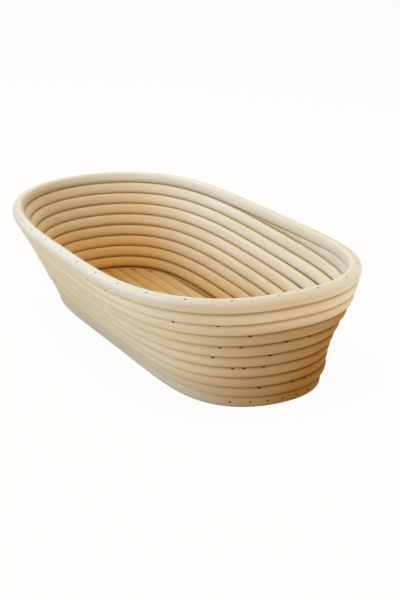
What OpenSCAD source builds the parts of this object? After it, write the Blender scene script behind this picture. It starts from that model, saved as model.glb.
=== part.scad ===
// Oval proofing basket: a wall wound from one long cane, a rim ring and a floor of straight canes.
// +X runs along the length, +Z is up, and the origin is the centre of the underside.

/* [Cane] */
// Diameter of the cane wound into the wall
cane_d = 7; // [5:0.1:9]
// Diameter of the cane bent into the rim ring
rim_d = 7.9; // [6:0.1:10]
// Gap between canes that lie side by side
lay_gap = 0.5; // [0.5:0.05:1]
// Thickness left at the tip of a cane end that is cut to a taper
tip_t = 0.6; // [0.4:0.1:2]

/* [Outline] */
// Length over the lowest turn
base_l = 246; // [200:1:300]
// Width over the lowest turn
base_w = 92; // [80:1:130]
// Straightness of the base's long sides, where 2 is an ellipse
base_side = 6; // [2:0.05:8]
// Straightness of the base's ends, where 2 is an ellipse
base_end = 2.1; // [2:0.05:4]
// Distance by which the base lies off the middle of the rim, across the basket
base_shift = 3.5; // [0:0.1:5]
// Length over the rim ring
rim_l = 289; // [250:1:330]
// Width over the rim ring
rim_w = 152; // [130:1:190]
// Straightness of the rim's long sides, where 2 is an ellipse
rim_side = 3.65; // [2:0.05:6]
// Straightness of the rim's ends, where 2 is an ellipse
rim_end = 2.25; // [2:0.05:4]

/* [Winding] */
// Turns in the wall, the lowest of them round the floor
turns = 9; // [6:1:12]
// Angle round the basket at which each turn starts to climb onto the one below
climb_from = 24; // [15:1:35]
// Angle over which it climbs
climb_span = 95; // [70:1:100]
// Extra depth at which the tapered start lies under the turn that climbs over it
start_drop = 0.5; // [0.4:0.05:0.8]
// Depth to which the lowest turn is sanded flat underneath
sole_cut = 0.5; // [0.3:0.05:0.8]

/* [Rim joint] */
// Angle round the basket at which the rim's scarf joint starts
scarf_from = 131; // [110:1:160]
// Angle over which the two ends of the rim overlap in the scarf
scarf_span = 18; // [12:1:30]
// Gap between the two faces of the scarf
scarf_gap = 0.3; // [0.2:0.05:0.5]

/* [Floor] */
// Depth planed off the underside of the floor canes
planed = 1.5; // [0.8:0.1:2.5]
// Gap between the floor and the lowest turn
floor_gap = 0.3; // [0.2:0.05:0.6]

/* [Nails] */
// Diameter of a nail's shank
nail_d = 1.2; // [0.9:0.1:1.6]
// Diameter of a nail's head
head_d = 2.2; // [1.8:0.1:2.8]
// Thickness of a nail's head
head_t = 0.6; // [0.4:0.1:1]
// Length of a nail's point
point_l = 1.8; // [1:0.1:3]
// Depth of a nail's head below the surface of the cane
head_sink = 0.1; // [0:0.05:0.4]
// Length of the nails in the rim and in the ends of the base
nail_l = 13; // [11:0.5:15]
// Length of the nails between the turns of the wall
pin_l = 11; // [9:0.5:13]
// Clearance round a nail in its hole
nail_fit = 0.05; // [0.02:0.01:0.1]
// Nails round the rim
rim_nail_n = 30; // [16:1:40]
// Distance of the wall's nails outside the middle of the cane
pin_set = 1.8; // [0.5:0.1:2]
// Distance of the base's side nails from the middle of the basket
side_nail_x = 72; // [66:1:80]

/* [Hidden] */
FLOOR_N = 9;
SIDES = 8;
STATIONS = 44;
ROUND = 48;
ANGLE_STEP = 0.5;
OUTLINE_STEP = 5;
// Least part of a step that is left between the end of a cane and the section beside it
END_ROOM = 0.3;
// Turn and angle of each nail in the wall, counted from one end of the basket and repeated at the other
END_PINS = [
    [1, -10], [1, 3], [1, 9], [3, -20], [3, -16], [3, -9], [4, -27], [4, -7],
    [5, -24], [5, -17], [5, -2], [5, 6], [6, -14], [7, -39], [7, -24]
];
// Turn and angle of each nail in the wall along one side
SIDE_PINS = [[6, -108], [8, -76], [8, -66]];
// End and side of the basket at which a nail goes in through the side of the base
BASE_SIDES = [[-1, -1], [1, -1], [-1, 1]];
cane_r = cane_d / 2;
rim_r = rim_d / 2;
pitch = cane_d + lay_gap;
base_z = cane_r - sole_cut;
rim_level = turns - 1 + (cane_r + rim_r + lay_gap) / pitch;
climb_share = climb_span / 360;
floor_pitch = (base_w - 2 * cane_d - 2 * floor_gap + lay_gap) / FLOOR_N;
floor_d = floor_pitch - lay_gap;
floor_z = floor_d / 2 - planed;
rim_mouth = head_t;
wall_mouth = head_t + lay_gap;
base_mouth = cane_r;

// Outlines: ovals with straight sides, the wall a straight lean from the base outline to the rim outline
function unit(v) = v / norm(v);
function oval(t, l, w, side, end) =
    [l / 2 * cos(t), w / 2 * sign(sin(t)) * pow(1 - pow(abs(cos(t)), side), 1 / end)];
function base_oval(t) = oval(t, base_l - cane_d, base_w - cane_d, base_side, base_end);
function base_line(t) = base_oval(t) + [0, base_shift];
function rim_line(t) = oval(t, rim_l - rim_d, rim_w - rim_d, rim_side, rim_end);
function wall_xy(level, t) = base_line(t) + (rim_line(t) - base_line(t)) * max(0, level) / rim_level;
function out_dir(level, t) =
    let (run = wall_xy(level, t + ANGLE_STEP) - wall_xy(level, t - ANGLE_STEP))
    unit([run[1], -run[0]]);
function floor_y(i) = (i - (FLOOR_N + 1) / 2) * floor_pitch;

// Each turn lies one pitch up the lean of the wall, so the wall stands higher where it leans less
function step_out(t) = (rim_line(t) - base_line(t)) * out_dir(rim_level / 2, t) / rim_level;
function lean(t) = asin(step_out(t) / pitch);
function wall_rise(level, t) = level < 0 ? pitch + start_drop : pitch * cos(lean(t));
function wall_point(level, t) =
    let (flat = wall_xy(level, t))
    [flat[0], flat[1], base_z + level * wall_rise(level, t)];
function tilt(level, t) = lean(t) * max(0, min(1, level));
function along_wall(level, t) =
    let (out = out_dir(level, t), a = tilt(level, t))
    [out[0] * sin(a), out[1] * sin(a), cos(a)];
function across_wall(level, t) =
    let (out = out_dir(level, t), a = tilt(level, t))
    [out[0] * cos(a), out[1] * cos(a), -sin(a)];

// Cane section: a polygon in a circle of radius r, cut off at a distance below or above its middle
function half_arc(cut, r) = cut >= r * cos(180 / SIDES) ? 180 - 180 / SIDES : acos(-cut / r);
function section_angle(i, cut_below, cut_above, r) =
    cut_above < r
    ? 180 - half_arc(cut_above, r) + 2 * half_arc(cut_above, r) * ((i + SIDES / 2) % SIDES) / (SIDES - 1)
    : -half_arc(cut_below, r) + 2 * half_arc(cut_below, r) * i / (SIDES - 1);
function section(level, t, r, cut_below, cut_above) =
    let (
        middle = wall_point(level, t),
        up = along_wall(level, t),
        out = across_wall(level, t)
    )
    [for (i = [0:SIDES - 1])
        let (a = section_angle(i, cut_below, cut_above, r))
        middle + r * (cos(a) * up + sin(a) * out)];

// Path of the winding: u counts turns, and each turn climbs one level at its start
function ramp(x) = (1 - cos(180 * x)) / 2;
function ramp_at(y) = acos(1 - 2 * y) / 180;
function turn_angle(u) = climb_from + 360 * u;
function turn_level(u) = floor(u) - 1 + ramp(min(1, (u - floor(u)) / climb_share));
first_u = climb_share * ramp_at(1 - (base_z + cane_r - tip_t) / (pitch + start_drop));
last_u = turns + climb_share * ramp_at((cane_d - tip_t) / pitch);
winding_u = concat(
    [first_u],
    [for (i = [ceil(first_u * STATIONS + END_ROOM):floor(last_u * STATIONS - END_ROOM)]) i / STATIONS],
    [last_u]
);
function winding_section(u) =
    let (
        level = turn_level(u),
        t = turn_angle(u),
        above_floor = wall_point(level, t)[2],
        below_rim = (rim_level - level) * pitch - rim_r - lay_gap
    )
    section(level, t, cane_r, above_floor, below_rim);

// Least gap between one turn and the next, measured from points of one to lines of the other
function line_gap(p, a, b) =
    let (d = b - a, s = max(0, min(1, (p - a) * d / (d * d))))
    norm(p - a - s * d);
winding_points = [for (u = winding_u) wall_point(turn_level(u), turn_angle(u))];
least_gap = min([
    for (i = [0:len(winding_points) - STATIONS - 3])
        for (j = [i + STATIONS - 3:i + STATIONS + 1])
            line_gap(winding_points[i], winding_points[j], winding_points[j + 1])
]) - cane_d;
echo(least_gap_in_the_winding = least_gap);

// Rim: one turn with its two ends cut to the same slope and laid over each other
scarf_share = scarf_span / 360;
rim_steps = STATIONS + 2 * round(scarf_share * STATIONS);
rim_v = [for (i = [0:rim_steps]) i / rim_steps * (1 + scarf_share)];
function scarf_height(v) = -rim_r + tip_t + (2 * rim_r - 2 * tip_t) * v / scarf_share;
function rim_section(v) =
    let (
        t = scarf_from + 360 * v,
        kept_above = v > 1 ? -scarf_height(v - 1) - scarf_gap / 2 : rim_r,
        kept_below = v < scarf_share ? scarf_height(v) - scarf_gap / 2 : rim_r
    )
    section(rim_level, t, rim_r, kept_above, kept_below);

// Distances round the rim, to space its nails evenly
rim_walk = [
    for (t = 0, s = 0; t <= 360; s = s + norm(rim_line(t + 1) - rim_line(t)), t = t + 1) [s, t]
];
function rim_angle(share) = lookup(share * rim_walk[360][0], rim_walk);

// Base nails: the top of a head lies just under the skin of the lowest turn, on the side that falls away
function head_out(face, slip) = cane_r / face - head_sink - head_d / 2 * abs(slip / face);
function end_angle(y) = sign(y) * acos(pow(1 - pow(2 * abs(y) / (base_w - cane_d), base_end), 1 / base_side));
side_angle = acos(2 * side_nail_x / (base_l - cane_d));
side_face = out_dir(0, side_angle);
side_head_y = base_oval(side_angle)[1] + head_out(side_face[1], side_face[0]);
side_nail_l = side_head_y - floor_y(FLOOR_N - 1);

// A cane swept through a list of sections, closed at both ends
module cane(sections) {
    last = (len(sections) - 1) * SIDES;
    skin = [
        for (i = [0:SIDES:last - SIDES])
            for (j = [0:SIDES - 1])
                let (k = (j + 1) % SIDES)
                each [[i + j, i + SIDES + j, i + k], [i + SIDES + j, i + SIDES + k, i + k]]
    ];
    ends = [
        for (j = [1:SIDES - 2])
            each [[0, j, j + 1], [last, last + j + 1, last + j]]
    ];
    polyhedron([for (s = sections) each s], concat(skin, ends));
}

// A nail with the top of its head at the origin, driven down
// Its hole is the same turned shape with some room round it and a mouth that opens the cane above the head
module nail(l, room = 0, mouth = 0) {
    head_r = head_d / 2 + room;
    shank_r = nail_d / 2 + room;
    rotate_extrude($fn = ROUND)
        polygon([
            [0, mouth], [head_r, mouth], [head_r, -head_t - room], [shank_r, -head_t - room],
            [shank_r, point_l - l - room], [0, -l - room]
        ]);
}

// Places a nail that is driven down the lean of the wall
module down_wall(level, t, out, up) {
    place = wall_point(level, t) + out * across_wall(level, t) + up * along_wall(level, t);
    facing = out_dir(level, t);
    translate(place)
        rotate([0, tilt(level, t), atan2(facing[1], facing[0])])
        children();
}

module each_rim_nail() {
    for (i = [0:rim_nail_n - 1])
        down_wall(rim_level, rim_angle((i + 0.5) / rim_nail_n), 0, rim_r - head_sink)
            children();
}

module each_wall_nail() {
    sunk = sqrt(cane_r * cane_r - pin_set * pin_set) - head_t;
    far_pins = [for (pin = END_PINS) [pin[0], pin[1] + 180]];
    for (pin = concat(END_PINS, far_pins, SIDE_PINS))
        if (pin[0] < turns)
            down_wall(pin[0], pin[1], pin_set, sunk)
                children();
}

module each_base_end_nail() {
    for (i = [2:FLOOR_N - 1])
        for (end = [-1, 1])
            let (
                t = end_angle(floor_y(i)),
                face = out_dir(0, t),
                head_x = base_oval(t)[0] + head_out(face[0], face[1])
            )
            translate([end * head_x, base_shift + floor_y(i), base_z])
                rotate([0, end * 90, 0])
                children();
}

module each_base_side_nail() {
    for (place = BASE_SIDES)
        translate([place[0] * side_nail_x, base_shift + place[1] * side_head_y, base_z])
            rotate([-place[1] * 90, 0, 0])
            children();
}

module wall_winding() {
    color("burlywood")
        difference() {
            cane([for (u = winding_u) winding_section(u)]);
            each_rim_nail() nail(nail_l, nail_fit, rim_mouth);
            each_wall_nail() nail(pin_l, nail_fit, wall_mouth);
            each_base_end_nail() nail(nail_l, nail_fit, base_mouth);
            each_base_side_nail() nail(side_nail_l, nail_fit, base_mouth);
        }
}

module rim_ring() {
    color("wheat")
        difference() {
            cane([for (v = rim_v) rim_section(v)]);
            each_rim_nail() nail(nail_l, nail_fit, rim_mouth);
        }
}

module floor_cane(i) {
    inside = [
        for (t = [0:OUTLINE_STEP:360 - OUTLINE_STEP])
            base_line(t) - (cane_r + floor_gap) * out_dir(0, t)
    ];
    color("tan")
        difference() {
            intersection() {
                translate([-base_l / 2, base_shift + floor_y(i), floor_z])
                    rotate([0, 90, 0])
                    cylinder(d = floor_d, h = base_l, $fn = ROUND);
                linear_extrude(floor_d)
                    polygon(inside);
            }
            each_base_end_nail() nail(nail_l, nail_fit, base_mouth);
            each_base_side_nail() nail(side_nail_l, nail_fit, base_mouth);
        }
}

module rim_nails() {
    color("dimgray") each_rim_nail() nail(nail_l);
}

module wall_nails() {
    color("dimgray") each_wall_nail() nail(pin_l);
}

module base_end_nails() {
    color("dimgray") each_base_end_nail() nail(nail_l);
}

module base_side_nails() {
    color("dimgray") each_base_side_nail() nail(side_nail_l);
}

wall_winding();
rim_ring();
floor_cane(1);  // floor_cane_1
floor_cane(2);  // floor_cane_2
floor_cane(3);  // floor_cane_3
floor_cane(4);  // floor_cane_4
floor_cane(5);  // floor_cane_5
floor_cane(6);  // floor_cane_6
floor_cane(7);  // floor_cane_7
floor_cane(8);  // floor_cane_8
floor_cane(9);  // floor_cane_9
rim_nails();
wall_nails();
base_end_nails();
base_side_nails();
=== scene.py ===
"""Oval proofing basket: a wall wound from one cane, a rim ring, a floor of canes and small nails."""

import math
from collections import namedtuple

import bpy
import numpy as np
from mathutils import Matrix, Vector, noise


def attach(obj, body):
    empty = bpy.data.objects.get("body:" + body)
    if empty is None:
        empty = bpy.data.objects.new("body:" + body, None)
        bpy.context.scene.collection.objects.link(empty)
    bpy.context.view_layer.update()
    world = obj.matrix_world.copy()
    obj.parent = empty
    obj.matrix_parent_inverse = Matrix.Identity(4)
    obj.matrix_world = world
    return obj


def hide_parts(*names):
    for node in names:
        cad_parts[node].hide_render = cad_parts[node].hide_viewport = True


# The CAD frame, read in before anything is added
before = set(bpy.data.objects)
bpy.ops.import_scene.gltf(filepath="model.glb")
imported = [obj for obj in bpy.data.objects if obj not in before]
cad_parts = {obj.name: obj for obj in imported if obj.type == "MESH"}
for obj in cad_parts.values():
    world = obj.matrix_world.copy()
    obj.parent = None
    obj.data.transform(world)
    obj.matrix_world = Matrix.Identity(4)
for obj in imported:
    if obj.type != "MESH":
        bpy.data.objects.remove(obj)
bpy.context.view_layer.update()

# Sizes that the part's solids have, in metres
MM = 0.001
CANE_D = 7.0 * MM
RIM_D = 7.9 * MM
LAY_GAP = 0.5 * MM
BASE_L = 246.0 * MM
BASE_W = 92.0 * MM
BASE_SHIFT = 3.5 * MM
RIM_L = 289.0 * MM
RIM_W = 152.0 * MM
TURNS = 9
CLIMB_FROM = math.radians(24)
CLIMB_SHARE = 95 / 360
START_DROP = 0.5 * MM
SOLE_CUT = 0.5 * MM
SCARF_FROM = math.radians(131)
SCARF_SHARE = 18 / 360
FLOOR_N = 9
PLANED = 1.5 * MM
FLOOR_GAP = 0.3 * MM
NAIL_D = 1.2 * MM
POINT_L = 1.8 * MM
NAIL_L = 13.0 * MM
PIN_L = 11.0 * MM
RIM_NAIL_N = 30
SIDE_NAIL_X = 72.0 * MM
# Powers of the two ovals: a higher side power makes straighter sides, a higher end power blunter ends
BASE_SIDE = 6.0
BASE_END = 2.1
RIM_SIDE = 3.65
RIM_END = 2.25
# Turn and angle in degrees of each nail in the wall at one end of the basket, repeated at the other end
END_PINS = [
    (1, -10), (1, 3), (1, 9), (3, -20), (3, -16), (3, -9), (4, -27), (4, -7),
    (5, -24), (5, -17), (5, -2), (5, 6), (6, -14), (7, -39), (7, -24),
]
# Turn and angle in degrees of each nail in the wall along one side
SIDE_PINS = [(6, -108), (8, -76), (8, -66)]
# End and side of the basket at which a nail goes in through the side of the base
BASE_SIDES = [(-1, -1), (1, -1), (-1, 1)]

# Sizes that follow from them
CANE_R = CANE_D / 2
RIM_R = RIM_D / 2
PITCH = CANE_D + LAY_GAP
BASE_Z = CANE_R - SOLE_CUT
RIM_LEVEL = TURNS - 1 + (CANE_R + RIM_R + LAY_GAP) / PITCH
FLOOR_PITCH = (BASE_W - 2 * CANE_D - 2 * FLOOR_GAP + LAY_GAP) / FLOOR_N
FLOOR_Z = (FLOOR_PITCH - LAY_GAP) / 2 - PLANED

# Sections of the dressed canes: half height and half width, and a power that fills out the corners
WALL_HALF = (3.85 * MM, 3.5 * MM)
WALL_FULL = 2.9
RIM_HALF = (3.85 * MM, 3.78 * MM)
RIM_FULL = 2.6
ROD_HALF = (4.4 * MM, 4.6 * MM)
ROD_FULL = 2.4
# The dressed canes are pressed flat where two of them meet: the seam left there, how far the flats lie
# from the middle lines, and the level of the rim
SEAM = 0.01 * MM
PRESSED = (PITCH - SEAM) / 2
RIM_PRESSED = 3.75 * MM
ROD_PRESSED = (FLOOR_PITCH - SEAM) / 2
RIM_SEAT = TURNS - 1 + (PRESSED + SEAM + RIM_PRESSED) / PITCH
# Cut ends: thickness of a tip, and the open line of the scarf joint
TIP_T = 0.25 * MM
SCARF_OPEN = 0.08 * MM

# Fineness of the meshes and of the lines that they follow, and angles from which edges are sharp
CANE_SIDES = 32
STATION = 3.0 * MM
ROD_STATIONS = 80
NAIL_SIDES = 16
PATH_SAMPLES = 8000
RIM_SAMPLES = 721
EDGE_SAMPLES = 400
SLOPE_STEP = math.radians(0.5)
CANE_SHARP = math.radians(42)
NAIL_SHARP = math.radians(40)

# The wall's slight S at one corner: its reach, place, span round the basket and wavelength in turns,
# and the levels between which it sets in
BELLY = 2.0 * MM
CORNER_AT = math.radians(42)
BELLY_SPAN = math.radians(50)
BELLY_TURNS = 7.3
BELLY_FROM = (-0.8, 1.2)

# Unevenness of the canes: sway to the sides, thickness as a share of the full one, lengths of the waves,
# and how far a floor cane reaches along them from its middle
WALL_SWAY = 0.4 * MM
RIM_SWAY = 0.1 * MM
SWAY_WAVE = 90 * MM
MEAN_THICKNESS = 0.985
THICKNESS_RANGE = 0.03
THICKNESS_WAVE = 50 * MM
ROD_REACH = 100 * MM
# Places in the noise, so that no two canes are uneven in the same way, and the step in grain between rods
WALL_SEED = 3.1
RIM_SEED = 8.4
ROD_SEED = 2.7
THICKNESS_SEED = 7
SEED_PLANE = 0.5
ROD_GRAIN_STEP = 310 * MM

# Nail heads: half sizes along the cane and across it, thickness, and rings as a share of the half sizes
# and a height
ROUND_HEAD = (0.65 * MM, 0.65 * MM)
FLAT_HEAD = (1.05 * MM, 0.42 * MM)
HEAD_T = 0.35 * MM
HEAD_DOME = [(0.05, 0.12 * MM), (0.5, 0.10 * MM), (0.85, 0.05 * MM), (1.0, -0.02 * MM), (1.0, -HEAD_T)]
# How far a round head is sunk into its cane, and the half width of a nail's tip
HEAD_SUNK = 0.06 * MM
POINT_R = 0.05 * MM
# A wall nail's distance out from the middle of its cane, and how far its way in tilts
PIN_SIDE = 2.45 * MM
PIN_TILT = math.radians(12)

# Stains and painted shade on the canes. Each pair runs from none to full: in shares of a section's half
# size for the grooves, in metres out from the middle of a cane for the inside, and in turns for the painted
# shade at the foot
WALL_GROOVE = (0.5, 0.98)
ROD_GROOVE = (0.72, 0.97)
INSIDE_FACE = (0.4 * CANE_R, -0.6 * CANE_R)
FOOT_SHADE = (0.9, 0.3)
# Painted shade outside, in brown. Each pair runs from none to full, in degrees past the shaded corner or in
# turns
END_SPAN = (100, 55)
NEAR_SPAN = (-15, -45)
CORNER_START = (-46, -14)
CORNER_FINISH = (42, 0)
CORNER_TOP = (7.3, 6.3)
RIM_FROM = (8.2, 8.8)
# The corner's painted shade starts earlier low down, by this many degrees from the rim to the foot
CORNER_SLANT = 16
# Shares of painted shade: low down along the end, on its near half and its rim, and at the corner and low
# there
END_LOW_SHADE = 0.4
NEAR_SHADE = 0.22
RIM_SHADE = 0.12
CORNER_SHADE = 0.85
CORNER_LOW_SHADE = 0.1
# Painted shade inside follows the depth to a power. The power is less towards the far end, between two
# shares of the way there, and in a nook
DARK_POWER = 2.1
FAR_LESS = 1.25
NOOK_LESS = 0.45
FAR_SPAN = (0.42, 0.9)
NOOK_AT = math.radians(160)
NOOK_SPAN = math.radians(30)


# Outlines and the lean of the wall: t is an angle round the basket, and a level counts turns above the foot
def signed_power(value, power):
    return np.sign(value) * np.abs(value) ** power


def fade(value, none, full):
    """Goes smoothly from 0 to 1 as the value goes from none to full."""
    share = np.clip((value - none) / (full - none), 0, 1)
    return share * share * (3 - 2 * share)


def unit(vector):
    return vector / np.linalg.norm(vector, axis=-1, keepdims=True)


def oval(t, length, width, side, end):
    y = np.sign(np.sin(t)) * (1 - np.abs(np.cos(t)) ** side) ** (1 / end)
    return np.stack([length / 2 * np.cos(t), width / 2 * y], -1)


def base_oval(t):
    return oval(t, BASE_L - CANE_D, BASE_W - CANE_D, BASE_SIDE, BASE_END)


def base_line(t):
    return base_oval(t) + [0, BASE_SHIFT]


def rim_line(t):
    return oval(t, RIM_L - RIM_D, RIM_W - RIM_D, RIM_SIDE, RIM_END)


def wall_xy(level, t):
    """The wall's middle line from above, straight from the base's oval to the rim's."""
    share = np.maximum(0, level) / RIM_LEVEL
    return base_line(t) + (rim_line(t) - base_line(t)) * np.asarray(share)[..., None]


def out_dir(level, t):
    """The level direction out of the basket, square to the wall's line."""
    run = wall_xy(level, t + SLOPE_STEP) - wall_xy(level, t - SLOPE_STEP)
    return unit(np.stack([run[..., 1], -run[..., 0]], -1))


def lean(t):
    """The angle by which the wall leans out."""
    step_out = ((rim_line(t) - base_line(t)) * out_dir(RIM_LEVEL / 2, t)).sum(-1) / RIM_LEVEL
    return np.arcsin(step_out / PITCH)


def angle_past(t, place):
    """The angle from a place round the basket, from half a turn before it to half a turn after it."""
    return (t - place + np.pi) % (2 * np.pi) - np.pi


def swell(t, place, span):
    """One at a place round the basket, and nothing a span away from it."""
    share = np.minimum(1, np.abs(angle_past(t, place)) / span)
    return np.cos(share * np.pi / 2) ** 2


def belly(level, t):
    """The wall's slight S at one corner: out below the rim and above the foot, and in between them."""
    reach = swell(t, CORNER_AT, BELLY_SPAN) * fade(level, *BELLY_FROM)
    return BELLY * reach * np.cos(2 * np.pi * level / BELLY_TURNS)


def wall_point(level, t):
    flat = wall_xy(level, t) + belly(level, t)[..., None] * out_dir(level, t)
    rise = np.where(np.asarray(level) < 0, PITCH + START_DROP, PITCH * np.cos(lean(t)))
    return np.concatenate([flat, (BASE_Z + level * rise)[..., None]], -1)


def wall_axes(level, t):
    """Unit directions up the wall and out of it, square to the cane."""
    out = out_dir(level, t)
    tilt = lean(t) * np.clip(level, 0, 1)
    sin, cos = np.sin(tilt)[..., None], np.cos(tilt)[..., None]
    return np.concatenate([out * sin, cos], -1), np.concatenate([out * cos, -sin], -1)


# Path of the winding: each turn climbs one level at its start
def ramp(share):
    return (1 - np.cos(np.pi * share)) / 2


def ramp_at(height):
    return math.acos(1 - 2 * height) / math.pi


def turn_angle(turn):
    return CLIMB_FROM + 2 * np.pi * turn


def turn_level(turn):
    whole = np.floor(turn)
    return whole - 1 + ramp(np.minimum(1, (turn - whole) / CLIMB_SHARE))


# The winding begins and ends where its tapers are as thin as a tip
FIRST_TURN = CLIMB_SHARE * ramp_at(1 - (BASE_Z + PRESSED - TIP_T) / (PITCH + START_DROP))
LAST_TURN = TURNS + CLIMB_SHARE * ramp_at((2 * PRESSED - TIP_T) / PITCH)


def distances(points):
    """How far each point of a line lies from the first one, along the line."""
    steps = np.linalg.norm(np.diff(points, axis=0), axis=1)
    return np.concatenate([[0], np.cumsum(steps)])


def even_steps(first, last, point_at):
    """Parameters and distances at even steps along a line."""
    fine = np.linspace(first, last, PATH_SAMPLES)
    walked = distances(point_at(fine))
    along = np.linspace(0, walked[-1], int(walked[-1] / STATION))
    return np.interp(along, walked, fine), along


def drift(along, wave, seed):
    """A slow change along a cane, about -0.5 to 0.5."""
    return np.array([noise.noise(Vector((place / wave, seed, SEED_PLANE))) for place in along])


def thickness(along, seed):
    """A cane's thickness along its length, as a share of the full one."""
    return MEAN_THICKNESS + THICKNESS_RANGE * drift(along, THICKNESS_WAVE, seed)


# Stains and painted shade on the wood
def depth_below_rim(level):
    return 1 - np.clip(level / RIM_LEVEL, 0, 1)


def painted_shade_outside(level, t):
    """Share of painted shade outside, in brown: most at one corner below the top turns, less along the end.
    """
    low = depth_below_rim(level)
    past = np.degrees(angle_past(t, CORNER_AT))
    end = fade(np.abs(past), *END_SPAN)
    near = end * fade(past, *NEAR_SPAN)
    corner = fade(past + CORNER_SLANT * (low - 0.5), *CORNER_START)
    corner = corner * fade(past, *CORNER_FINISH) * fade(level, *CORNER_TOP)
    painted_shade = END_LOW_SHADE * end * low
    painted_shade = painted_shade + near * (NEAR_SHADE + RIM_SHADE * fade(level, *RIM_FROM))
    painted_shade = painted_shade + corner * (CORNER_SHADE + CORNER_LOW_SHADE * low)
    return np.minimum(1, painted_shade)


def painted_inside_shade(level, t):
    """How much painted shade the inside gets: more towards the floor, higher up at the far end and in a
    nook there.
    """
    far = fade(-np.cos(t), *FAR_SPAN)
    power = DARK_POWER - FAR_LESS * far - NOOK_LESS * swell(t, NOOK_AT, NOOK_SPAN)
    return depth_below_rim(level) ** power


def wall_stains_and_shade(level, t, height, side, covered):
    """Stains and painted shade on the points of a cane in the wall. Height is a share of the half height.
    """
    inside = fade(side, *INSIDE_FACE)
    foot = fade(level, *FOOT_SHADE)[:, None]
    # Grooves: a dark stain that is partly painted shade; the inside of the lowest turn is painted shade too
    groove = fade(np.where(covered, np.abs(height), -height), *WALL_GROOVE)
    return {
        "groove": np.maximum(groove, inside * foot),
        "inside": inside,
        # Painted shade: darker towards the floor inside and lower down outside, brown at one corner outside
        # and at the foot inside
        "low": np.where(side < 0, painted_inside_shade(level, t)[:, None], depth_below_rim(level)[:, None]),
        "painted_shade": np.where(side < 0, foot, painted_shade_outside(level, t)[:, None]),
    }


# Meshes
def add_object(name, data):
    obj = bpy.data.objects.new(name, data)
    bpy.context.scene.collection.objects.link(obj)
    return obj


def smooth_object(name, points, faces, sharp):
    """An object with smooth faces, apart from edges that are sharper than an angle."""
    mesh = bpy.data.meshes.new(name)
    mesh.from_pydata([tuple(point) for point in points], [], faces)
    mesh.polygons.foreach_set("use_smooth", [True] * len(mesh.polygons))
    mesh.update()
    mesh.set_sharp_from_angle(angle=sharp)
    return add_object(name, mesh)


def ring_faces(count, sides, first=0):
    """Faces of a closed body made of rings of points, numbered from its first point on."""
    faces = []
    for ring in range(count - 1):
        start = first + ring * sides
        for side in range(sides):
            here, beside = start + side, start + (side + 1) % sides
            faces.append((here, beside, beside + sides, here + sides))
    last = first + (count - 1) * sides
    faces.append(tuple(range(first, first + sides))[::-1])
    faces.append(tuple(range(last, last + sides)))
    return faces


def section(half, fullness):
    """A cane's section as heights and sides: an oval filled out towards its corners."""
    angle = np.linspace(0, 2 * np.pi, CANE_SIDES, endpoint=False)
    height = half[0] * signed_power(np.cos(angle), 2 / fullness)
    side = half[1] * signed_power(np.sin(angle), 2 / fullness)
    return height, side


def set_on_points(mesh, label, kind, field, values):
    data = mesh.attributes.new(label, kind, "POINT").data
    data.foreach_set(field, np.ascontiguousarray(values).reshape(-1))


def tube(name, rings, grain, stains_and_shade):
    """A cane swept through rings of points, with its grain's own coordinates and stains and painted shade
    on each point.
    """
    count, sides = rings.shape[:2]
    obj = smooth_object(name, rings.reshape(-1, 3), ring_faces(count, sides), CANE_SHARP)
    set_on_points(obj.data, "grain", "FLOAT_VECTOR", "vector", grain)
    for label, values in stains_and_shade.items():
        set_on_points(obj.data, label, "FLOAT", "value", values)
    return obj


def bent_cane(name, level, t, along, shape, below, above, sway, seed):
    """A cane along the wall, cut flat at distances below and above its middle line."""
    up, out = wall_axes(level, t)
    middle = wall_point(level, t) + out * (sway * drift(along, SWAY_WAVE, seed))[:, None]
    (high, wide), fullness = shape
    height, side = section(*shape)
    height = np.clip(np.broadcast_to(height, (len(t), CANE_SIDES)), -below[:, None], above[:, None])
    chord = wide * (1 - np.minimum(1, np.abs(height) / high) ** fullness) ** (1 / fullness)
    side = thickness(along, seed + THICKNESS_SEED)[:, None] * np.clip(side, -chord, chord)
    rings = middle[:, None] + height[..., None] * up[:, None] + side[..., None] * out[:, None]
    rings[..., 2] = np.maximum(rings[..., 2], 0)
    grain = np.stack([np.broadcast_to(along[:, None], height.shape), height, side], -1)
    covered = (above < high)[:, None]
    return tube(name, rings, grain, wall_stains_and_shade(level, t, height / high, side, covered))


def winding_point(turn):
    return wall_point(turn_level(turn), turn_angle(turn))


def wall_cane():
    """The wound wall, cut flat on the ground and under the rim."""
    turn, along = even_steps(FIRST_TURN, LAST_TURN, winding_point)
    level, t = turn_level(turn), turn_angle(turn)
    below = np.minimum(wall_point(level, t)[:, 2], PRESSED)
    above = np.minimum((RIM_SEAT - level) * PITCH - RIM_PRESSED - SEAM, PRESSED)
    shape = (WALL_HALF, WALL_FULL)
    return bent_cane("wall_cane", level, t, along, shape, below, above, WALL_SWAY, WALL_SEED)


def rim_angle(share):
    return SCARF_FROM + 2 * np.pi * share


def rim_point(share):
    return wall_point(np.full_like(share, RIM_SEAT), rim_angle(share))


def rim_cane():
    """The rim ring, its ends cut to two wedges that meet in the scarf joint."""
    share, along = even_steps(0, 1 + SCARF_SHARE, rim_point)
    slope = (2 * RIM_PRESSED - 2 * TIP_T) / SCARF_SHARE
    start_cut = -RIM_PRESSED + TIP_T + slope * share - SCARF_OPEN / 2
    end_cut = RIM_PRESSED - TIP_T - slope * (share - 1) - SCARF_OPEN / 2
    above = np.where(share < SCARF_SHARE, start_cut, RIM_HALF[0])
    below = np.where(share > 1, end_cut, RIM_PRESSED)
    level, t = np.full_like(share, RIM_SEAT), rim_angle(share)
    shape = (RIM_HALF, RIM_FULL)
    return bent_cane("rim_cane", level, t, along, shape, below, above, RIM_SWAY, RIM_SEED)


def floor_y(number):
    """A floor cane's distance to the side of the floor's middle."""
    return (number - (FLOOR_N + 1) / 2) * FLOOR_PITCH


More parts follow.
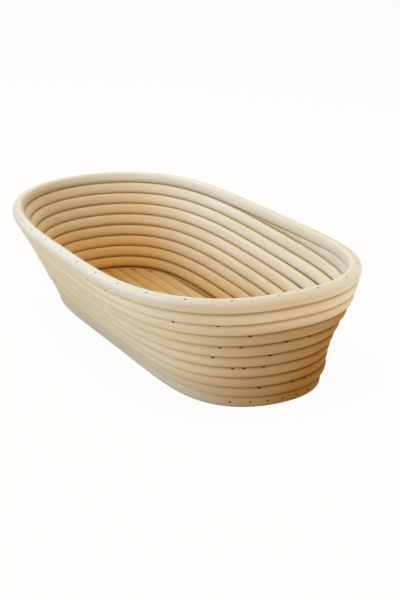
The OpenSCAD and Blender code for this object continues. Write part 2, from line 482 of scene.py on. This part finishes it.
def floor_edge():
    """The inside of the lowest turn: half lengths of the floor at rising distances from its middle."""
    quarter = np.linspace(0, np.pi / 2, EDGE_SAMPLES)
    edge = base_oval(quarter) - (WALL_HALF[1] + SEAM) * out_dir(0, quarter)
    order = np.argsort(edge[:, 1])
    return edge[order, 0], edge[order, 1]


def floor_rod(number):
    """A straight floor cane, planed underneath, its ends cut to the inside of the lowest turn."""
    edge_x, edge_y = floor_edge()
    limit = edge_y[-1] - SEAM
    middle = floor_y(number)
    share = np.sin(np.linspace(-np.pi / 2, np.pi / 2, ROD_STATIONS))
    uneven = thickness(share * ROD_REACH, number * ROD_SEED)[:, None]
    height, side = (part[::-1] for part in section(ROD_HALF, ROD_FULL))
    side = np.clip(side, -ROD_PRESSED, ROD_PRESSED)
    y = np.clip(np.broadcast_to(middle + side, (ROD_STATIONS, CANE_SIDES)), -limit, limit)
    z = np.maximum(FLOOR_Z + uneven * height, 0)
    x = share[:, None] * np.interp(np.abs(y), edge_y, edge_x)
    rings = np.stack([x, BASE_SHIFT + y, z], -1)
    grain = np.stack([x + number * ROD_GRAIN_STEP, y - middle, z], -1)
    stains_and_shade = {
        "groove": np.broadcast_to(fade(np.abs(side) / ROD_HALF[1], *ROD_GROOVE), x.shape),
        "inside": fade(z, FLOOR_Z, FLOOR_Z + ROD_HALF[0]),
        # Painted shade: darker towards the ends of the floor, where it meets the wall
        "low": np.abs(x) / (BASE_L / 2),
        "painted_shade": np.zeros_like(x),
    }
    return tube(f"floor_rod_{number}", rings, grain, stains_and_shade)


# Nails: the head's place, the way it faces, the cane's run, the head's half sizes, the way in and a length
Nail = namedtuple("Nail", "place face run head way length")


def nail_rings(nail):
    """Rings of points of a nail: a low domed head, a shank and a point."""
    angle = -2 * np.pi * np.arange(NAIL_SIDES)[:, None] / NAIL_SIDES
    cos, sin = np.cos(angle), np.sin(angle)
    outline = nail.head[0] * cos * nail.run + nail.head[1] * sin * np.cross(nail.face, nail.run)
    rings = [nail.place + lift * nail.face + share * outline for share, lift in HEAD_DOME]
    side = unit(np.cross(nail.way, nail.run))
    circle = cos * np.cross(side, nail.way) - sin * side
    shank = min(NAIL_D / 2, nail.head[1])
    for width, depth in ((shank, HEAD_T), (shank, nail.length - POINT_L), (POINT_R, nail.length)):
        rings.append(nail.place + depth * nail.way + width * circle)
    return rings


def nail_set(name, nails):
    """Nails in one piece."""
    points, faces = [], []
    for nail in nails:
        rings = nail_rings(nail)
        faces += ring_faces(len(rings), NAIL_SIDES, len(points))
        points += [point for ring in rings for point in ring]
    return smooth_object(name, points, faces, NAIL_SHARP)


def wall_nail(turn, degrees):
    """A nail in the groove above a turn, near its mouth, driven down and a little inwards."""
    level, t = np.float64(turn), np.float64(math.radians(degrees))
    up, out = wall_axes(level, t)
    high, wide = WALL_HALF
    share = PIN_SIDE / wide
    height = high * (1 - share**WALL_FULL) ** (1 / WALL_FULL)
    face = (height / high) ** (WALL_FULL - 1) / high * up + share ** (WALL_FULL - 1) / wide * out
    place = wall_point(level, t) + height * up + PIN_SIDE * out
    way = -math.cos(PIN_TILT) * up - math.sin(PIN_TILT) * out
    return Nail(place, unit(face), np.cross(up, out), FLAT_HEAD, way, PIN_L)


def wall_nails():
    far_pins = [(turn, degrees + 180) for turn, degrees in END_PINS]
    return [wall_nail(*pin) for pin in END_PINS + far_pins + SIDE_PINS]


def rim_nails():
    """Nails down through the rim, evenly spaced along it."""
    walk = np.linspace(0, 2 * np.pi, RIM_SAMPLES)
    walked = distances(rim_line(walk))
    spots = (np.arange(RIM_NAIL_N) + 0.5) / RIM_NAIL_N * walked[-1]
    level = np.float64(RIM_SEAT)
    nails = []
    for t in np.interp(spots, walked, walk):
        up, out = wall_axes(level, t)
        place = wall_point(level, t) + (RIM_HALF[0] - HEAD_SUNK) * up
        nails.append(Nail(place, up, np.cross(up, out), ROUND_HEAD, -up, NAIL_L))
    return nails


def base_nail(t, way, length):
    """A nail through the lowest turn, with its head on the outside."""
    level, t = np.float64(0), np.float64(t)
    up, out = wall_axes(level, t)
    place = wall_point(level, t) + (WALL_HALF[1] - HEAD_SUNK) * out
    return Nail(place, out, np.cross(out, up), ROUND_HEAD, np.array(way), length)


def end_angle(y):
    """The angle at which the base's oval lies this far to the side, at the end where x is above 0."""
    share = 2 * abs(y) / (BASE_W - CANE_D)
    return math.copysign(math.acos((1 - share**BASE_END) ** (1 / BASE_SIDE)), y)


def base_end_nails():
    """Nails into both ends of each floor cane, apart from the two outer canes."""
    nails = []
    for number in range(2, FLOOR_N):
        t = end_angle(floor_y(number))
        nails.append(base_nail(t, (-1.0, 0.0, 0.0), NAIL_L))
        nails.append(base_nail(math.pi - t, (1.0, 0.0, 0.0), NAIL_L))
    return nails


def base_side_nails():
    """Nails through the outer floor canes to the middle of the ones beside them."""
    corner = math.acos(2 * SIDE_NAIL_X / (BASE_L - CANE_D))
    nails = []
    for end, side in BASE_SIDES:
        t = side * (corner if end > 0 else math.pi - corner)
        nail = base_nail(t, (0.0, -side, 0.0), 0)
        length = abs(nail.place[1] - BASE_SHIFT) - floor_y(FLOOR_N - 1)
        nails.append(nail._replace(length=length))
    return nails


# Colours of the wood, its stains and its painted shade
# Brown of the pores, also painted shade in the grooves at the shaded corner
PORE_AND_SHADE_BROWN = (0.30, 0.15, 0.045)
# Brown painted shade, outside at one corner and along the end
PAINTED_SHADE_BROWN = (0.53, 0.285, 0.07)
# Grooves: a dark stain that is partly painted shade, darker deep inside than high up
GROOVE_OUT = (0.59, 0.435, 0.20)
GROOVE_IN = (0.50, 0.26, 0.07)
GROOVE_PALE = (0.66, 0.49, 0.27)
STREAK_TINT = (0.94, 0.86, 0.70)
# The pale and the tan of the wood, its painted shade low down and how far it gets there, outside and inside
WALL_OUTER = ((0.72, 0.68, 0.61), (0.615, 0.545, 0.43), (0.61, 0.51, 0.345), 0.4)
WALL_INNER = ((0.78, 0.74, 0.64), (0.71, 0.60, 0.43), (0.68, 0.385, 0.09), 0.95)
RIM_OUTER = ((0.67, 0.655, 0.61), (0.62, 0.58, 0.51), (0.62, 0.58, 0.51), 0.0)
RIM_INNER = ((0.75, 0.72, 0.64), (0.69, 0.62, 0.50), (0.69, 0.62, 0.50), 0.0)
ROD_OUTER = ((0.62, 0.46, 0.27), (0.54, 0.37, 0.19), (0.54, 0.37, 0.19), 0.0)
ROD_INNER = ((0.60, 0.47, 0.29), (0.53, 0.37, 0.18), (0.51, 0.25, 0.055), 0.9)
# Dark and rusty iron
DARK_IRON = ((0.035, 0.024, 0.018), (0.09, 0.045, 0.02))
DULL_IRON = ((0.11, 0.08, 0.06), (0.2, 0.12, 0.06))
# Noises: cycles per metre along the cane and across it, and detail
TONE_NOISE = (9, 90, 3)
FIBRE_NOISE = (22, 1500, 4)
STREAK_NOISE = (11, 430, 3)
PORE_NOISE = (110, 4200, 2)
RUST_NOISE = (900, 900, 3)
# The values between which a noise or a stain sets in, and how strongly it then shows
TONE_SHOWS = (0.35, 0.68, 1.0)
FIBRE_SHOWS = (0.42, 0.72, 0.5)
STREAK_SHOWS = (0.44, 0.68, 0.45)
PORE_SHOWS = (0.63, 0.78, 0.3)
RUST_SHOWS = (0.4, 0.65, 1.0)
GROOVE_SHOWS = (0, 1, 0.7)
# The values of a noise between which the roughness changes, and the roughness there
CANE_ROUGHNESS = (0.3, 0.7, 0.5, 0.68)
IRON_ROUGHNESS = (0.3, 0.7, 0.5, 0.8)
# The painted shade low down follows the depth to this power
DEPTH_POWER = 1.4
# Gloss of the cane, metal in the rust, and the strength and height of the fibres
CANE_GLOSS = 0.08
IRON_METALLIC = 0.3
FIBRE_BUMP = 0.25
FIBRE_HEIGHT = 0.15 * MM
# A mix node's sockets for its factor and its two colours, and for the mixed colour
MIX_INPUTS = (0, 6, 7)
MIX_OUTPUT = 2


# Materials
class Nodes:
    """The node tree of a material or a world, built one node at a time."""

    def __init__(self, owner, shader):
        owner.use_nodes = True
        self.owner = owner
        self.tree = owner.node_tree
        self.shader = self.tree.nodes[shader]

    def add(self, kind, **values):
        node = self.tree.nodes.new(kind)
        for key, value in values.items():
            setattr(node, key, value)
        return node

    def put(self, value, socket):
        """Links an output to a socket, or sets the socket to a number or a colour."""
        if isinstance(value, bpy.types.NodeSocket):
            self.tree.links.new(value, socket)
        elif isinstance(value, tuple):
            socket.default_value = (*value, 1.0)
        else:
            socket.default_value = value

    def shade(self, key, value):
        self.put(value, self.shader.inputs[key])

    def attribute(self, name, output):
        return self.add("ShaderNodeAttribute", attribute_name=name).outputs[output]

    def calculate(self, operation, first, second):
        node = self.add("ShaderNodeMath", operation=operation)
        self.put(first, node.inputs[0])
        self.put(second, node.inputs[1])
        return node.outputs[0]

    def noise_along(self, vector, along, across, detail):
        """Noise stretched along the grain."""
        scaled = self.add("ShaderNodeVectorMath", operation="MULTIPLY")
        self.put(vector, scaled.inputs[0])
        scaled.inputs[1].default_value = (along, across, across)
        texture = self.add("ShaderNodeTexNoise")
        self.put(1.0, texture.inputs["Scale"])
        self.put(detail, texture.inputs["Detail"])
        self.put(scaled.outputs[0], texture.inputs["Vector"])
        return texture.outputs["Fac"]

    def remap(self, value, low, high, to_low, to_high):
        node = self.add("ShaderNodeMapRange")
        keys = ("Value", "From Min", "From Max", "To Min", "To Max")
        for key, number in zip(keys, (value, low, high, to_low, to_high)):
            self.put(number, node.inputs[key])
        return node.outputs["Result"]

    def shows(self, value, none, full, strength):
        """A mix factor that grows from nothing to a strength."""
        return self.remap(value, none, full, 0, strength)

    def mix(self, factor, first, second, blend="MIX"):
        node = self.add("ShaderNodeMix", data_type="RGBA", blend_type=blend)
        for socket, value in zip(MIX_INPUTS, (factor, first, second)):
            self.put(value, node.inputs[socket])
        return node.outputs[MIX_OUTPUT]

    def bump(self, height, strength, distance):
        node = self.add("ShaderNodeBump")
        self.put(strength, node.inputs["Strength"])
        self.put(distance, node.inputs["Distance"])
        self.put(height, node.inputs["Height"])
        self.shade("Normal", node.outputs["Normal"])

    def white_where_seen(self, white, share, output):
        """Shows a share of white to the camera, in gloss and in clear bodies, and none to the light."""
        path = self.add("ShaderNodeLightPath")
        seen = path.outputs["Is Camera Ray"]
        for kind in ("Is Glossy Ray", "Is Transmission Ray"):
            seen = self.calculate("MAXIMUM", seen, path.outputs[kind])
        mixed = self.add("ShaderNodeMixShader")
        self.put(self.calculate("MULTIPLY", seen, share), mixed.inputs[0])
        self.put(self.shader.outputs[0], mixed.inputs[1])
        self.put(white.outputs[0], mixed.inputs[2])
        self.put(mixed.outputs[0], self.tree.nodes[output].inputs["Surface"])


def material_nodes(name):
    return Nodes(bpy.data.materials.new(name), "Principled BSDF")


def cane_material(name, outer, inner):
    """Peeled cane: pale wood with long fibres and fine pores. Outside and inside each go from the pale and
    the tan of clean wood to a darker painted shade low down, brown painted shade lies outside at one corner
    and inside at the foot, and the grooves between the canes are stained, partly as painted shade."""
    nodes = material_nodes(name)
    place = nodes.attribute("grain", "Vector")
    inside = nodes.attribute("inside", "Fac")
    painted_shade = nodes.attribute("painted_shade", "Fac")
    depth = nodes.calculate("POWER", nodes.attribute("low", "Fac"), DEPTH_POWER)
    fibre = nodes.noise_along(place, *FIBRE_NOISE)
    tone = nodes.shows(nodes.noise_along(place, *TONE_NOISE), *TONE_SHOWS)
    streak = nodes.shows(nodes.noise_along(place, *STREAK_NOISE), *STREAK_SHOWS)
    pore = nodes.shows(nodes.noise_along(place, *PORE_NOISE), *PORE_SHOWS)
    faces = []
    for pale, tan, deep, reach in (outer, inner):
        wood = nodes.mix(nodes.shows(fibre, *FIBRE_SHOWS), nodes.mix(tone, pale, tan), tan)
        wood = nodes.mix(streak, wood, STREAK_TINT, "MULTIPLY")
        # Painted shade: the darker tone low down
        faces.append(nodes.mix(nodes.shows(depth, 0, 1, reach), wood, deep))
    # Painted shade in brown, outside at one corner and along the end
    faces[0] = nodes.mix(painted_shade, faces[0], PAINTED_SHADE_BROWN)
    colour = nodes.mix(pore, nodes.mix(inside, *faces), PORE_AND_SHADE_BROWN)
    # The grooves' stain, partly painted shade: darker deep inside, and brown at the shaded corner
    groove_stain_and_shade = nodes.mix(inside, GROOVE_OUT, nodes.mix(depth, GROOVE_PALE, GROOVE_IN))
    groove_stain_and_shade = nodes.mix(painted_shade, groove_stain_and_shade, PORE_AND_SHADE_BROWN)
    groove = nodes.shows(nodes.attribute("groove", "Fac"), *GROOVE_SHOWS)
    nodes.shade("Base Color", nodes.mix(groove, colour, groove_stain_and_shade))
    nodes.shade("Roughness", nodes.remap(fibre, *CANE_ROUGHNESS))
    nodes.shade("Specular IOR Level", CANE_GLOSS)
    nodes.bump(fibre, FIBRE_BUMP, FIBRE_HEIGHT)
    return nodes.owner


def nail_material(name, dark, rust):
    """Small iron nails, darkened and a little rusty."""
    nodes = material_nodes(name)
    place = nodes.add("ShaderNodeNewGeometry").outputs["Position"]
    patch = nodes.noise_along(place, *RUST_NOISE)
    nodes.shade("Base Color", nodes.mix(nodes.shows(patch, *RUST_SHOWS), dark, rust))
    nodes.shade("Roughness", nodes.remap(patch, *IRON_ROUGHNESS))
    nodes.shade("Metallic", IRON_METALLIC)
    return nodes.owner


# The basket's pieces, each in its material and in place of its solids
def dress(obj, material, slot, *nodes):
    obj.data.materials.append(material)
    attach(obj, "root")
    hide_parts(*nodes)


wall_wood = cane_material("wound_cane_wood", WALL_OUTER, WALL_INNER)
rim_wood = cane_material("rim_cane_wood", RIM_OUTER, RIM_INNER)
floor_wood = cane_material("floor_cane_wood", ROD_OUTER, ROD_INNER)
dark_iron = nail_material("dark_iron", *DARK_IRON)
dull_iron = nail_material("dull_iron", *DULL_IRON)

dress(wall_cane(), wall_wood, "cane", "wall_winding")
dress(rim_cane(), rim_wood, "rim_cane", "rim_ring")
for number in range(1, FLOOR_N + 1):
    dress(floor_rod(number), floor_wood, "floor_cane", f"floor_cane_{number}")
dress(nail_set("rim_nail_set", rim_nails()), dull_iron, "nail", "rim_nails")
dress(nail_set("wall_nail_set", wall_nails()), dark_iron, "nail", "wall_nails")
dress(nail_set("base_end_nail_set", base_end_nails()), dark_iron, "nail", "base_end_nails")
dress(nail_set("base_side_nail_set", base_side_nails()), dark_iron, "nail", "base_side_nails")

# Sizes of the stage in metres, powers in watts
GROUND_HALF = 6.0
GROUND_DROP = 0.2 * MM
GROUND_COLOUR = (0.90, 0.72, 0.43)
GROUND_ROUGHNESS = 0.9
GROUND_GLOSS = 0.0
GROUND_WHITE = 0.95
SURROUND_COLOUR = (1.0, 0.5, 0.08)
SURROUND_STRENGTH = 0.16
SURROUND_WHITE = 1.0
WHITE = (1.0, 1.0, 1.0)
# Soft lamps aimed at the basket: name, place, power and colour
LAMP_SIZE = 0.9
LAMP_AIM = (0, 0, 0.03)
LAMPS = [
    ("front", (0.2, -1.3, 0.6), 16.5, (0.6, 0.79, 1.0)),
    ("top", (0.0, -0.1, 1.4), 7.8, (1.0, 0.86, 0.62)),
    ("left", (-0.9, 0.0, 1.1), 6.5, (0.8, 0.93, 1.0)),
    ("right", (0.6, 0.4, 1.2), 6.2, (0.93, 1.0, 0.86)),
]
# A low strip lamp, aimed at the pale upper turns above the corner's brown painted shade
STRIP_AT = (0.49, 0.365, 0.0315)
STRIP_AIM = (0.12, 0.03, 0.0675)
STRIP_SIZE = (0.3, 0.035)
STRIP_SPREAD = math.radians(1.5)
STRIP_POWER = 0.02
STRIP_COLOUR = (0.85, 0.95, 1.0)
# The camera, fitted to the photograph: place, direction and focal length, for a frame 600 pixels high
CAMERA_AT = (641.37 * MM, -331.46 * MM, 280.67 * MM)
CAMERA_AZIMUTH = math.radians(61.34)
CAMERA_ELEVATION = math.radians(19.73)
FOCAL_PX = 1230
FRAME_PX = 600
SENSOR_MM = 36


# Stage: a pale floor, soft lamps and an even surround
def pale_floor():
    low, high = -GROUND_HALF, GROUND_HALF
    mesh = bpy.data.meshes.new("floor")
    mesh.from_pydata([(low, low, 0), (high, low, 0), (high, high, 0), (low, high, 0)], [], [(0, 1, 2, 3)])
    floor = add_object("floor", mesh)
    floor.location.z = -GROUND_DROP
    nodes = material_nodes("pale_floor")
    nodes.shade("Base Color", GROUND_COLOUR)
    nodes.shade("Roughness", GROUND_ROUGHNESS)
    nodes.shade("Specular IOR Level", GROUND_GLOSS)
    nodes.white_where_seen(nodes.add("ShaderNodeEmission"), GROUND_WHITE, "Material Output")
    mesh.materials.append(nodes.owner)


def surround():
    """An even dim light from all round, white where it is seen directly."""
    nodes = Nodes(bpy.data.worlds.new("surround"), "Background")
    nodes.shade("Color", SURROUND_COLOUR)
    nodes.shade("Strength", SURROUND_STRENGTH)
    white = nodes.add("ShaderNodeBackground")
    nodes.put(WHITE, white.inputs["Color"])
    nodes.white_where_seen(white, SURROUND_WHITE, "World Output")
    bpy.context.scene.world = nodes.owner


def lamp(name, place, aim, size, power, colour):
    data = bpy.data.lights.new(name, "AREA")
    data.shape = "DISK"
    data.size = size
    data.energy = power
    data.color = colour
    obj = add_object(name, data)
    obj.location = place
    obj.rotation_euler = (Vector(aim) - Vector(place)).to_track_quat("-Z", "Y").to_euler()
    return data


def strip_lamp():
    """A wide low lamp whose beam hardly spreads, so that it lights a level band."""
    data = lamp("side", STRIP_AT, STRIP_AIM, STRIP_SIZE[0], STRIP_POWER, STRIP_COLOUR)
    data.shape = "RECTANGLE"
    data.size_y = STRIP_SIZE[1]
    data.spread = STRIP_SPREAD


def camera():
    """At the photograph's viewing angle."""
    sin, cos = math.sin(CAMERA_AZIMUTH), math.cos(CAMERA_AZIMUTH)
    level, rise = math.cos(CAMERA_ELEVATION), math.sin(CAMERA_ELEVATION)
    right = Vector((cos, sin, 0))
    back = Vector((sin * level, -cos * level, rise))
    turn = Matrix((right, back.cross(right), back)).transposed().to_4x4()
    data = bpy.data.cameras.new("camera")
    data.sensor_width = SENSOR_MM
    data.lens = SENSOR_MM * FOCAL_PX / FRAME_PX
    obj = add_object("camera", data)
    obj.matrix_world = Matrix.Translation(CAMERA_AT) @ turn
    bpy.context.scene.camera = obj


pale_floor()
surround()
for name, place, power, colour in LAMPS:
    lamp(name, place, LAMP_AIM, LAMP_SIZE, power, colour)
strip_lamp()
camera()
bpy.context.scene.view_settings.view_transform = "Standard"
